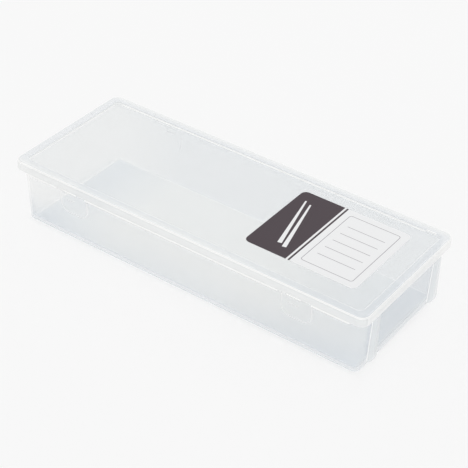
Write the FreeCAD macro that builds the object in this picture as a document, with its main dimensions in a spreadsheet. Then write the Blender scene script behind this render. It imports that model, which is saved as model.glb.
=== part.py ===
"""Chopstick box: a drafted tray with fins and thumb pads, its lift-off lid, and the lid's label.

Frame: +X along the length, -Y the front long side, +Z up, origin in the middle of the underside.
Lengths are in millimetres.
"""
import FreeCAD
import Part
import os

import Sketcher
from FreeCAD import Placement, Rotation, Vector

# Driving dimensions: name, size, what it measures.
DIMENSIONS = (
    ("lid_length", 270.0, "lid over its skirt, along X"),
    ("lid_width", 105.0, "lid over its skirt, along Y"),
    ("closed_height", 47.0, "underside of the tray to the top of the lid's rim"),
    ("lid_corner_radius", 6.2, "outer corner of the skirt in plan"),
    ("lid_edge_round", 1.9, "rounding of the rim's outer top edge"),
    ("rim_wall", 1.3, "thickness of the raised rim"),
    ("rim_inner_round", 0.5, "rounding of the rim's inner top edge"),
    ("skirt_depth", 6.5, "top of the rim to the lower edge of the skirt"),
    ("skirt_wall", 1.2, "thickness of the skirt"),
    ("panel_drop", 1.7, "top of the rim down to the sunk panel"),
    ("panel_wall", 1.3, "thickness of the panel"),
    ("rib_wall", 1.1, "thickness of the locating rib under the panel's edge"),
    ("rib_depth", 2.4, "underside of the panel to the lower edge of the rib"),
    ("rib_clearance", 0.4, "locating rib to the inside of the tray wall"),
    ("base_inset", 5.3, "skirt's outer face to the tray wall at the underside, in plan"),
    ("wall_flare", 1.95, "how far the tray wall leans out from the underside to its top edge"),
    ("box_wall", 1.2, "thickness of the tray wall"),
    ("floor_wall", 1.4, "thickness of the tray floor"),
    ("base_corner_radius", 4.5, "outer corner of the tray in plan, at the underside"),
    ("base_edge_round", 2.0, "rounding of the outer edge of the underside"),
    ("floor_edge_round", 2.8, "rounding between floor and wall, inside"),
    ("seat_gap", 0.1, "top edge of the tray wall to the rim that rests on it"),
    ("ledge_wall", 1.0, "thickness of the ledge along each long side of the tray"),
    ("ledge_gap", 0.2, "lower edge of the skirt to the ledge below it"),
    ("ledge_end_margin", 9.0, "end of the lid to the end of the ledge, along X"),
    ("ledge_corner_radius", 3.0, "outer corners of the ledge at its ends"),
    ("grip_spacing", 173.0, "middle to middle of the two grips on a long side"),
    ("grip_gap_width", 24.0, "break in the ledge at a grip"),
    ("pad_width", 22.0, "raised thumb pad, along X"),
    ("pad_height", 18.7, "top of the ledge to the lower edge of the pad, along the wall"),
    ("pad_relief", 0.7, "how far the pad stands out from the tray wall"),
    ("pad_corner_radius", 6.5, "lower corners of the pad"),
    ("tab_width", 10.0, "pull tab of the lid, along X"),
    ("tab_drop", 5.6, "lower edge of the skirt to the lower edge of the tab"),
    ("tab_root", 0.5, "how far the tab's thick part reaches up the skirt"),
    ("tab_relief", 0.6, "how far the tab stands out from the skirt"),
    ("tab_corner_radius", 2.5, "lower corners of the tab"),
    ("fin_spacing", 71.0, "middle to middle of the two fins on the right end"),
    ("fin_wall", 2.6, "thickness of a fin"),
    ("fin_round", 9.0, "round lower corner of a fin"),
    ("fin_foot", 1.5, "underside of the tray to the lowest point of a fin"),
    ("label_length", 80.0, "label along X"),
    ("label_width", 67.0, "label along Y"),
    ("label_wall", 0.15, "thickness of the label"),
    ("label_corner_radius", 4.0, "corners of the label"),
    ("label_end_margin", 21.2, "right end of the lid to the label's edge"),
    ("label_offset_width", 3.5, "middle line of the lid to the middle of the label, along Y"),
    ("cut_overrun", 1.0, "how far every cut runs past the face it opens"),
)

# Heights above the underside, as expressions of the sheet's values.
SKIRT_BOTTOM = "(dims.closed_height - dims.skirt_depth)"
TAB_BOTTOM = f"({SKIRT_BOTTOM} - dims.tab_drop)"
LEDGE_TOP = f"({SKIRT_BOTTOM} - dims.ledge_gap)"
LEDGE_BOTTOM = f"({LEDGE_TOP} - dims.ledge_wall)"
RIM_UNDERSIDE = "(dims.closed_height - dims.rim_wall)"
WALL_TOP = f"({RIM_UNDERSIDE} - dims.seat_gap)"
PANEL_TOP = "(dims.closed_height - dims.panel_drop)"
PANEL_UNDERSIDE = f"({PANEL_TOP} - dims.panel_wall)"
RIB_BOTTOM = f"({PANEL_UNDERSIDE} - dims.rib_depth)"
PAD_BOTTOM = f"({LEDGE_TOP} - dims.pad_height)"

# Sketcher's numbers for the origin point, the horizontal axis and the ends of a curve.
ORIGIN = (-1, 1)
HORIZONTAL_AXIS = -1
START = 1
END = 2
CENTRE = 3
QUARTER_TURN = 90.0

TOUCH_SHARE = 1e-6

doc = FreeCAD.newDocument("chopstick_box")
sheet = doc.addObject("Spreadsheet::Sheet", "dims")


def fill_sheet():
    """Write each driving dimension into the sheet, under its own name."""
    for row, (alias, size, meaning) in enumerate(DIMENSIONS, start=1):
        sheet.set(f"A{row}", meaning)
        sheet.set(f"B{row}", str(size))
        sheet.setAlias(f"B{row}", alias)
    doc.recompute()


def value(expression):
    """The number that an expression of the sheet's values gives now."""
    return float(sheet.evalExpression(expression))


def flare(height):
    """How far the tray wall leans out at a height."""
    return f"(dims.wall_flare * ({height}) / {WALL_TOP})"


def wall_outside(side, height):
    """Span of the tray over its walls, along the lid's length or width, at a height."""
    return f"(dims.{side} - 2 * dims.base_inset + 2 * {flare(height)})"


def wall_inside(side, height):
    """Span of the tray between its walls at a height."""
    return f"({wall_outside(side, height)} - 2 * dims.box_wall)"


def corner_outside(height):
    """Outer corner radius of the tray at a height."""
    return f"(dims.base_corner_radius + {flare(height)})"


def corner_inside(height):
    """Inner corner radius of the tray at a height, concentric with the outer one."""
    return f"({corner_outside(height)} - dims.box_wall)"


def rib_outside(side):
    """Span of the lid's locating rib over its outer faces, clear of the tray wall at its lower edge."""
    return f"({wall_inside(side, RIB_BOTTOM)} - 2 * dims.rib_clearance)"


RIB_CORNER = f"({corner_inside(RIB_BOTTOM)} - dims.rib_clearance)"


def new_body(label):
    body = doc.addObject("PartDesign::Body", label)
    body.Label = label
    return body


def origin_plane(body, role):
    return next(item for item in body.Origin.OriginFeatures if item.Role == role)


def new_sketch(body, name, role, offsets):
    """A sketch on one of the body's own planes, moved by expressions such as {"Base.z": height}."""
    sketch = body.newObject("Sketcher::SketchObject", name)
    sketch.AttachmentSupport = (origin_plane(body, role), [""])
    sketch.MapMode = "FlatFace"
    sketch.AttachmentOffset = Placement(Vector(), Rotation(Vector(1, 0, 0), 0))
    for target, expression in offsets.items():
        sketch.setExpression(f"AttachmentOffset.{target}", expression)
    return sketch


def size(sketch, kind, expression, *ends):
    """A dimension of the sketch, bound to an expression of the sheet's values."""
    index = sketch.addConstraint(Sketcher.Constraint(kind, *ends, value(expression)))
    sketch.setExpression(f"Constraints[{index}]", expression)


def from_origin(sketch, kind, expression, side, curve, end):
    """A distance from the origin to a point, on the positive or the negative side of it."""
    point = (curve, end)
    ends = ORIGIN + point if side > 0 else point + ORIGIN
    size(sketch, kind, expression, *ends)


def join(sketch, kind, first, second):
    """Join the end of one curve to the start of the next."""
    sketch.addConstraint(Sketcher.Constraint(kind, first, END, second, START))


def line(sketch, start, end):
    return sketch.addGeometry(Part.LineSegment(Vector(*start, 0), Vector(*end, 0)))


def quarter_arc(sketch, centre, radius, first_quarter):
    """A quarter circle, turning to the left, that starts at a whole number of quarter turns."""
    start = FreeCAD.Units.Quantity(first_quarter * QUARTER_TURN, "deg").getValueAs("rad").Value
    end = FreeCAD.Units.Quantity((first_quarter + 1) * QUARTER_TURN, "deg").getValueAs("rad").Value
    circle = Part.Circle(Vector(*centre, 0), Vector(0, 0, 1), radius)
    return sketch.addGeometry(Part.ArcOfCircle(circle, start, end))


def set_level(sketch, horizontal, vertical):
    for curve in horizontal:
        sketch.addConstraint(Sketcher.Constraint("Horizontal", curve))
    for curve in vertical:
        sketch.addConstraint(Sketcher.Constraint("Vertical", curve))


def rounded_rectangle(sketch, length, width, radius):
    """A rectangle with round corners, centred on the sketch's origin."""
    x = value(length) / 2
    y = value(width) / 2
    r = value(radius)
    right = line(sketch, (x, r - y), (x, y - r))
    first = quarter_arc(sketch, (x - r, y - r), r, 0)
    top = line(sketch, (x - r, y), (r - x, y))
    second = quarter_arc(sketch, (r - x, y - r), r, 1)
    left = line(sketch, (-x, y - r), (-x, r - y))
    third = quarter_arc(sketch, (r - x, r - y), r, 2)
    bottom = line(sketch, (r - x, -y), (x - r, -y))
    fourth = quarter_arc(sketch, (x - r, r - y), r, 3)
    loop = (right, first, top, second, left, third, bottom, fourth)
    for curve, following in zip(loop, loop[1:] + loop[:1]):
        join(sketch, "Tangent", curve, following)
    set_level(sketch, (top, bottom), (right, left))
    for arc in (second, third, fourth):
        sketch.addConstraint(Sketcher.Constraint("Equal", first, arc))
    sketch.addConstraint(Sketcher.Constraint("Symmetric", first, CENTRE, third, CENTRE, *ORIGIN))
    size(sketch, "Radius", radius, first)
    size(sketch, "DistanceX", length, left, START, right, START)
    size(sketch, "DistanceY", width, bottom, START, top, START)


def hanging_outline(sketch, side, spacing, width, height, radius):
    """A tongue with round lower corners, standing on the sketch's horizontal axis to one side."""
    inner = f"(({spacing}) / 2 - ({width}) / 2)"
    middle = side * value(spacing) / 2
    x0 = middle - value(width) / 2
    x1 = middle + value(width) / 2
    y = value(height)
    r = value(radius)
    left = line(sketch, (x0, y), (x0, r))
    first = quarter_arc(sketch, (x0 + r, r), r, 2)
    bottom = line(sketch, (x0 + r, 0), (x1 - r, 0))
    second = quarter_arc(sketch, (x1 - r, r), r, 3)
    right = line(sketch, (x1, r), (x1, y))
    top = line(sketch, (x1, y), (x0, y))
    for curve, following in ((left, first), (first, bottom), (bottom, second), (second, right)):
        join(sketch, "Tangent", curve, following)
    join(sketch, "Coincident", right, top)
    join(sketch, "Coincident", top, left)
    set_level(sketch, (bottom, top), (left, right))
    sketch.addConstraint(Sketcher.Constraint("Equal", first, second))
    sketch.addConstraint(Sketcher.Constraint("PointOnObject", bottom, START, HORIZONTAL_AXIS))
    size(sketch, "Radius", radius, first)
    size(sketch, "DistanceX", width, left, START, right, END)
    size(sketch, "DistanceY", height, *ORIGIN, top, START)
    near = (left, START) if side > 0 else (right, END)
    from_origin(sketch, "DistanceX", inner, side, *near)


def gap_outline(sketch, side_x, side_y, near, far):
    """A rectangle across the ledge at one grip, from inside the wall to past the ledge's edge."""
    inner = "(dims.grip_spacing / 2 - dims.grip_gap_width / 2)"
    x0 = side_x * value(inner)
    x1 = x0 + side_x * value("dims.grip_gap_width")
    y0 = side_y * value(near)
    y1 = side_y * value(far)
    first = line(sketch, (x0, y0), (x1, y0))
    second = line(sketch, (x1, y0), (x1, y1))
    third = line(sketch, (x1, y1), (x0, y1))
    fourth = line(sketch, (x0, y1), (x0, y0))
    loop = (first, second, third, fourth)
    for curve, following in zip(loop, loop[1:] + loop[:1]):
        join(sketch, "Coincident", curve, following)
    set_level(sketch, (first, third), (second, fourth))
    ends = (first, START, first, END) if side_x > 0 else (first, END, first, START)
    size(sketch, "DistanceX", "dims.grip_gap_width", *ends)
    from_origin(sketch, "DistanceX", inner, side_x, first, START)
    from_origin(sketch, "DistanceY", near, side_y, first, START)
    from_origin(sketch, "DistanceY", far, side_y, third, START)


def fin_outline(sketch):
    """A fin of the right end seen from the front: level with the lid's end, its lower corner round."""
    edge = "(dims.lid_length / 2)"
    underside_half = f"({wall_outside('lid_length', '0')} / 2)"
    inner_limit = f"min({edge} - dims.fin_round; {underside_half} - dims.base_edge_round)"
    root = f"({inner_limit} - dims.box_wall)"
    foot = "dims.fin_foot"
    head = f"({LEDGE_BOTTOM} + dims.ledge_wall / 2)"
    r = value("dims.fin_round")
    x0 = value(root)
    x1 = value(edge) - r
    x2 = value(edge)
    z0 = value(foot)
    z1 = value(head)
    top = line(sketch, (x2, z1), (x0, z1))
    inner = line(sketch, (x0, z1), (x0, z0))
    bottom = line(sketch, (x0, z0), (x1, z0))
    corner = quarter_arc(sketch, (x1, z0 + r), r, 3)
    outer = line(sketch, (x2, z0 + r), (x2, z1))
    for curve, following in ((outer, top), (top, inner), (inner, bottom)):
        join(sketch, "Coincident", curve, following)
    join(sketch, "Tangent", bottom, corner)
    join(sketch, "Tangent", corner, outer)
    set_level(sketch, (top, bottom), (inner, outer))
    size(sketch, "Radius", "dims.fin_round", corner)
    size(sketch, "DistanceX", edge, *ORIGIN, top, START)
    size(sketch, "DistanceX", root, *ORIGIN, top, END)
    size(sketch, "DistanceY", foot, *ORIGIN, bottom, START)
    size(sketch, "DistanceY", head, *ORIGIN, top, START)


def add_pad(body, name, sketch, length, backwards=False):
    pad = body.newObject("PartDesign::Pad", name)
    pad.Profile = sketch
    pad.Reversed = backwards
    pad.setExpression("Length", length)
    doc.recompute()
    return pad


def add_loft(body, kind, name, lower, upper):
    loft = body.newObject(f"PartDesign::{kind}", name)
    loft.Profile = lower
    loft.Sections = [upper]
    loft.Ruled = True
    doc.recompute()
    return loft


def add_mirror(body, name, originals):
    """Repeat features of the front long side on the back long side."""
    mirror = body.newObject("PartDesign::Mirrored", name)
    mirror.Originals = originals
    mirror.MirrorPlane = (origin_plane(body, "XZ_Plane"), [""])
    body.Tip = mirror
    doc.recompute()
    return mirror


def outline_edges(shape, height, length, width):
    """Names of the edges that lie at one height, on a rectangle of the given spans with round corners."""
    touch = TOUCH_SHARE * shape.BoundBox.DiagonalLength
    names = []
    for number, edge in enumerate(shape.Edges, start=1):
        box = edge.BoundBox
        level = abs(box.ZMin - height) < touch and abs(box.ZMax - height) < touch
        reach_x = max(abs(box.XMin), abs(box.XMax))
        reach_y = max(abs(box.YMin), abs(box.YMax))
        if level and (abs(reach_x - length / 2) < touch or abs(reach_y - width / 2) < touch):
            names.append(f"Edge{number}")
    return names


def add_fillet(body, name, base, edges, radius):
    fillet = body.newObject("PartDesign::Fillet", name)
    fillet.Base = (base, edges)
    fillet.setExpression("Radius", radius)
    doc.recompute()
    return fillet


def rounded_sketch(body, name, height, length, width, radius):
    """A round-cornered rectangle, level, at a height."""
    sketch = new_sketch(body, name, "XY_Plane", {"Base.z": height})
    rounded_rectangle(sketch, length, width, radius)
    return sketch


def tray_section(body, name, height, inside):
    """The tray's outline at a height, over its walls or between them."""
    span, corner = (wall_inside, corner_inside) if inside else (wall_outside, corner_outside)
    length = span("lid_length", height)
    width = span("lid_width", height)
    return rounded_sketch(body, name, height, length, width, corner(height))


def make_tray():
    """The tray: ledges with breaks at the grips, flared walls, thumb pads, fins, then the cavity."""
    body = new_body("box_body")
    ledge_length = "(dims.lid_length - 2 * dims.ledge_end_margin)"
    ledge_sketch = rounded_sketch(
        body, "ledge_outline", LEDGE_BOTTOM, ledge_length, "dims.lid_width", "dims.ledge_corner_radius"
    )
    add_pad(body, "ledge", ledge_sketch, "dims.ledge_wall")

    gap_sketch = new_sketch(body, "grip_gap_outlines", "XY_Plane", {"Base.z": LEDGE_TOP})
    inside_wall = f"({wall_inside('lid_width', LEDGE_TOP)} / 2)"
    past_edge = "(dims.lid_width / 2 + dims.cut_overrun)"
    for side_x in (1, -1):
        for side_y in (1, -1):
            gap_outline(gap_sketch, side_x, side_y, inside_wall, past_edge)
    gaps = body.newObject("PartDesign::Pocket", "grip_gaps")
    gaps.Profile = gap_sketch
    gaps.setExpression("Length", "dims.ledge_wall + dims.cut_overrun")
    doc.recompute()

    underside = tray_section(body, "underside_outline", "0", inside=False)
    top_edge = tray_section(body, "top_edge_outline", WALL_TOP, inside=False)
    walls = add_loft(body, "AdditiveLoft", "walls", underside, top_edge)
    base_edges = outline_edges(
        walls.Shape, 0, value(wall_outside("lid_length", "0")), value(wall_outside("lid_width", "0"))
    )
    add_fillet(body, "base_edge", walls, base_edges, "dims.base_edge_round")

    lean = f"atan(dims.wall_flare / {WALL_TOP})"
    pad_face = f"({wall_outside('lid_width', PAD_BOTTOM)} / 2 + dims.pad_relief)"
    pad_sketch = new_sketch(
        body, "thumb_pad_outlines", "XZ_Plane",
        {"Base.y": PAD_BOTTOM, "Base.z": pad_face, "Rotation.Angle": lean},
    )
    for side in (1, -1):
        hanging_outline(
            pad_sketch, side, "dims.grip_spacing", "dims.pad_width",
            "dims.pad_height", "dims.pad_corner_radius",
        )
    pads = add_pad(body, "thumb_pads", pad_sketch, "dims.pad_relief + dims.box_wall", backwards=True)

    fin_face = "(dims.fin_spacing / 2 + dims.fin_wall / 2)"
    fin_sketch = new_sketch(body, "fin_outline", "XZ_Plane", {"Base.z": fin_face})
    fin_outline(fin_sketch)
    fin = add_pad(body, "front_fin", fin_sketch, "dims.fin_wall", backwards=True)
    add_mirror(body, "back_pads_and_fin", [pads, fin])

    above_top = f"({WALL_TOP} + dims.cut_overrun)"
    floor_outline = tray_section(body, "floor_outline", "dims.floor_wall", inside=True)
    mouth_outline = tray_section(body, "mouth_outline", above_top, inside=True)
    cavity = add_loft(body, "SubtractiveLoft", "cavity", floor_outline, mouth_outline)
    floor_edges = outline_edges(
        cavity.Shape,
        value("dims.floor_wall"),
        value(wall_inside("lid_length", "dims.floor_wall")),
        value(wall_inside("lid_width", "dims.floor_wall")),
    )
    add_fillet(body, "floor_edge", cavity, floor_edges, "dims.floor_edge_round")
    return body


def ring_sketch(body, name, height, outer, inner):
    """Two round-cornered rectangles, one inside the other, each given as length, width and radius."""
    sketch = new_sketch(body, name, "XY_Plane", {"Base.z": height})
    rounded_rectangle(sketch, *outer)
    rounded_rectangle(sketch, *inner)
    return sketch


def inset(outline, wall):
    """The outline that lies one wall inside another."""
    length, width, radius = outline
    return f"({length} - 2 * {wall})", f"({width} - 2 * {wall})", f"({radius} - {wall})"


def make_lid():
    """The lid: raised rim, skirt, locating rib, sunk panel and four pull tabs."""
    body = new_body("lid")
    skirt_outer = ("dims.lid_length", "dims.lid_width", "dims.lid_corner_radius")
    rib_outer = (rib_outside("lid_length"), rib_outside("lid_width"), RIB_CORNER)
    rib_inner = inset(rib_outer, "dims.rib_wall")

    rim_sketch = ring_sketch(body, "rim_outline", RIM_UNDERSIDE, skirt_outer, rib_inner)
    add_pad(body, "rim", rim_sketch, "dims.rim_wall")
    skirt_sketch = ring_sketch(
        body, "skirt_outline", SKIRT_BOTTOM, skirt_outer, inset(skirt_outer, "dims.skirt_wall")
    )
    add_pad(body, "skirt", skirt_sketch, f"{RIM_UNDERSIDE} - {SKIRT_BOTTOM}")
    rib_sketch = ring_sketch(body, "rib_outline", RIB_BOTTOM, rib_outer, rib_inner)
    add_pad(body, "locating_rib", rib_sketch, f"{RIM_UNDERSIDE} - {RIB_BOTTOM}")
    panel_outline = inset(rib_outer, "(dims.rib_wall / 2)")
    panel_sketch = rounded_sketch(body, "panel_outline", PANEL_UNDERSIDE, *panel_outline)
    panel = add_pad(body, "panel", panel_sketch, "dims.panel_wall")

    top = value("dims.closed_height")
    outer_edges = outline_edges(panel.Shape, top, value("dims.lid_length"), value("dims.lid_width"))
    rim_edge = add_fillet(body, "rim_edge", panel, outer_edges, "dims.lid_edge_round")
    inner_edges = outline_edges(rim_edge.Shape, top, value(rib_inner[0]), value(rib_inner[1]))
    add_fillet(body, "rim_inner_edge", rim_edge, inner_edges, "dims.rim_inner_round")

    tab_face = "(dims.lid_width / 2 + dims.tab_relief)"
    tab_sketch = new_sketch(body, "tab_outlines", "XZ_Plane", {"Base.y": TAB_BOTTOM, "Base.z": tab_face})
    for side in (1, -1):
        hanging_outline(
            tab_sketch, side, "dims.grip_spacing", "dims.tab_width",
            "(dims.tab_drop + dims.tab_root)", "dims.tab_corner_radius",
        )
    tabs = add_pad(body, "pull_tabs", tab_sketch, "dims.tab_relief + dims.skirt_wall", backwards=True)
    add_mirror(body, "back_pull_tabs", [tabs])
    return body


def make_label():
    """The label, lying on the panel towards the right end."""
    body = new_body("label")
    outline = rounded_sketch(
        body, "label_outline", "0", "dims.label_length", "dims.label_width", "dims.label_corner_radius"
    )
    add_pad(body, "label_sheet", outline, "dims.label_wall")
    label_right = "(dims.lid_length / 2 - dims.label_end_margin)"
    body.setExpression("Placement.Base.x", f"{label_right} - dims.label_length / 2")
    body.setExpression("Placement.Base.y", "dims.label_offset_width")
    body.setExpression("Placement.Base.z", PANEL_TOP)
    doc.recompute()
    return body


def check_features(body):
    """Stop if a feature failed, or changed its solid the wrong way or not at all."""
    adding = ("Pad", "AdditiveLoft", "Mirrored")
    taking = ("Pocket", "SubtractiveLoft")
    for item in body.Group:
        kind = item.TypeId.split("::")[1]
        base = getattr(item, "BaseFeature", None)
        if base is None:
            continue
        change = item.Shape.Volume - base.Shape.Volume
        if (kind in adding and change <= 0) or (kind in taking and change >= 0):
            raise RuntimeError(f"{body.Label}: {item.Label} leaves the solid as it was")


def check_document(bodies):
    """Stop before anything is written if an object failed or a sub-part isn't one sound solid."""
    for item in doc.Objects:
        if "Invalid" in item.State or "Error" in item.State:
            raise RuntimeError(f"{item.Label} failed: {item.State}")
    for body in bodies:
        shape = body.Shape
        if shape.isNull() or not shape.isValid() or len(shape.Solids) != 1:
            raise RuntimeError(f"{body.Label} isn't one sound solid")
        check_features(body)


def main():
    fill_sheet()
    bodies = (make_tray(), make_lid(), make_label())
    doc.recompute()
    check_document(bodies)
    os.makedirs("parts", exist_ok=True)
    for body in bodies:
        body.Shape.exportStep(f"parts/{body.Label}.step")
        print(body.Label, "volume", round(body.Shape.Volume), "mm3")


main()
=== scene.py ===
"""Finishes of the chopstick box: frosted tray and lid, the printed label, and the studio it stands in."""
import math

import bpy
from bpy.props import FloatProperty, FloatVectorProperty, PointerProperty
from mathutils import Matrix, Vector


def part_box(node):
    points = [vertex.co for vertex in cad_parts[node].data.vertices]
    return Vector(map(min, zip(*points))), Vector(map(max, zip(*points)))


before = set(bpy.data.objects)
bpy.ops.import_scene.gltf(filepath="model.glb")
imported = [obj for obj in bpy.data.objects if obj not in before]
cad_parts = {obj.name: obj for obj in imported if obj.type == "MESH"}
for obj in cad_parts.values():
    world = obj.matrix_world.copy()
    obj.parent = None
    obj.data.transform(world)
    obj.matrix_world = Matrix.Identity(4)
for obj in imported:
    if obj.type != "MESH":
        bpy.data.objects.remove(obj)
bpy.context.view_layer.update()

bl_info = {
    "name": "Chopstick Box Finishes",
    "version": (1, 0, 0),
    "blender": (4, 5, 0),
    "location": "View3D > Sidebar > Chopstick Box",
    "description": "Frosted plastic, label print and studio for the chopstick box",
    "category": "Material",
}

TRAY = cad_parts["box_body"]
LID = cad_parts["lid"]
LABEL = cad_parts["label"]
LID_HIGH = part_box("lid")[1]
LABEL_LOW, LABEL_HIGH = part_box("label")
LABEL_MIDDLE = (LABEL_LOW + LABEL_HIGH) / 2
LABEL_LENGTH = LABEL_HIGH.x - LABEL_LOW.x
LABEL_WIDTH = LABEL_HIGH.y - LABEL_LOW.y

MILLIMETRE = 0.001
RIGHT_ANGLE = math.radians(90.0)


def span(first, last):
    """Two lengths given in millimetres, as metres."""
    return first * MILLIMETRE, last * MILLIMETRE


def from_start(start, lengths):
    """Lengths measured on from a start."""
    return tuple(start + length for length in lengths)


def shares_of(length, shares):
    """Shares of a length, as lengths."""
    return tuple(length * share for share in shares)


# How far a mask fades at its edge, on plastic and in print
SOFT = 0.15 * MILLIMETRE
PRINT_SOFT = 0.06 * MILLIMETRE

# Plastic and film: refraction, bump, and what cloudiness and grain do to haze and roughness
PLASTIC_IOR = 1.49
FILM_IOR = 1.35
PLASTIC_BUMP = 0.08
FILM_BUMP = 0.06
BUMP_DISTANCE = 0.02 * MILLIMETRE
CLOUD_STRETCH = (0.45, 1.0, 1.6)
NOISE_MIDDLE = 0.5
CLOUD_FROST = 0.12
GRAIN_FROST = 0.05
CLOUD_HAZE = 0.3
CLEAR_HAZE = 0.85
FIBRE_SCALE = 900.0
FIBRE_SHADE = 0.04
FIBRE_FROST = 0.12

# Masks of the tray, as lengths. A painted highlight line lies between its two lengths, and any other mask
# rises from the first to the second. They are above the floor's top, out from the floor's flat, out from the
# end wall, out from a pad's outline, and in from the floor's front edge
FLOOR_SKIN = span(1.0, 0.6)
BASE_HEIGHT = span(0.7, 0.3)
FLOOR_LINE = span(0.1, 0.7)
BASE_REACH = span(2.6, 2.8)
FIN_LINE = span(0.1, 0.5)
PAD_LINE = span(-0.4, 0.1)
FRONT_FADE = span(3.0, 0.0)

# The same as shares: of the floor's length
LEFT_END = (-0.28, -0.5)
FRONT_MIDDLE = (0.35, 0.1)
FLOOR_RIGHT = (0.15, 0.45)
FLOOR_LEFT = (-0.28, -0.46)

# Of the floor's width
BEHIND_FRONT_EDGE = (-0.49, -0.46)
BEFORE_BACK_EDGE = (0.47, 0.44)

# Of the height of the skirt's lower edge, and of the floor's top
FRONT_FOOT = (0.65, 0.15)
FIN_FOOT = (1.0, 3.0)

# Masks of the lid, as lengths: up from the top, out from the skirt, out from the step, up from the skirt's
# lower edge, and up from the foot of a tab, where the mask rises downward
RIM_TOP = span(-0.8, -0.5)
SKIRT_SKIN = span(-0.6, -0.3)
STEP_LINE = span(-0.5, 0.4)
SKIRT_LINE = span(0.0, 0.25)
TAB_FOOT = span(0.8, 0.5)

# The same as shares: of half the lid's length, and of the rounding of the rim
PALE_RIM = (0.6, 0.2)
ROUNDING_IN = (-0.6, -0.5)
ROUNDING_LINE = (-0.6, -0.18)

# Label: corner of a printed mark, and the rules as shares of half the frame's height
MARK_CORNER = 0.2 * MILLIMETRE
RULE_PLACES = (-0.6, -0.3, 0.0, 0.3, 0.6)

# Studio: the floor, how far under the box its own shade takes over, and the camera's sensor in millimetres
FLOOR_SIZE = 12.0
FLOOR_DROP = 0.2 * MILLIMETRE
CONTACT_SHADE = span(-10.0, 0.0)
SENSOR_WIDTH = 36.0


def colour_property(name, description, default):
    return FloatVectorProperty(
        name=name, description=description, subtype="COLOR", size=3, min=0.0, max=1.0, default=default
    )


def place_property(name, description, default):
    return FloatVectorProperty(
        name=name, description=description, subtype="TRANSLATION", unit="LENGTH", size=3, default=default
    )


def length_property(name, description, default):
    return FloatProperty(
        name=name, description=description, unit="LENGTH", precision=5, min=0.0, default=default
    )


def share_property(name, description, default):
    return FloatProperty(
        name=name, description=description, subtype="FACTOR", min=0.0, max=1.0, default=default
    )


def angle_property(name, description, degrees):
    return FloatProperty(name=name, description=description, subtype="ANGLE", default=math.radians(degrees))


def power_property(name, description, default):
    return FloatProperty(name=name, description=description, subtype="POWER", min=0.0, default=default)


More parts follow.
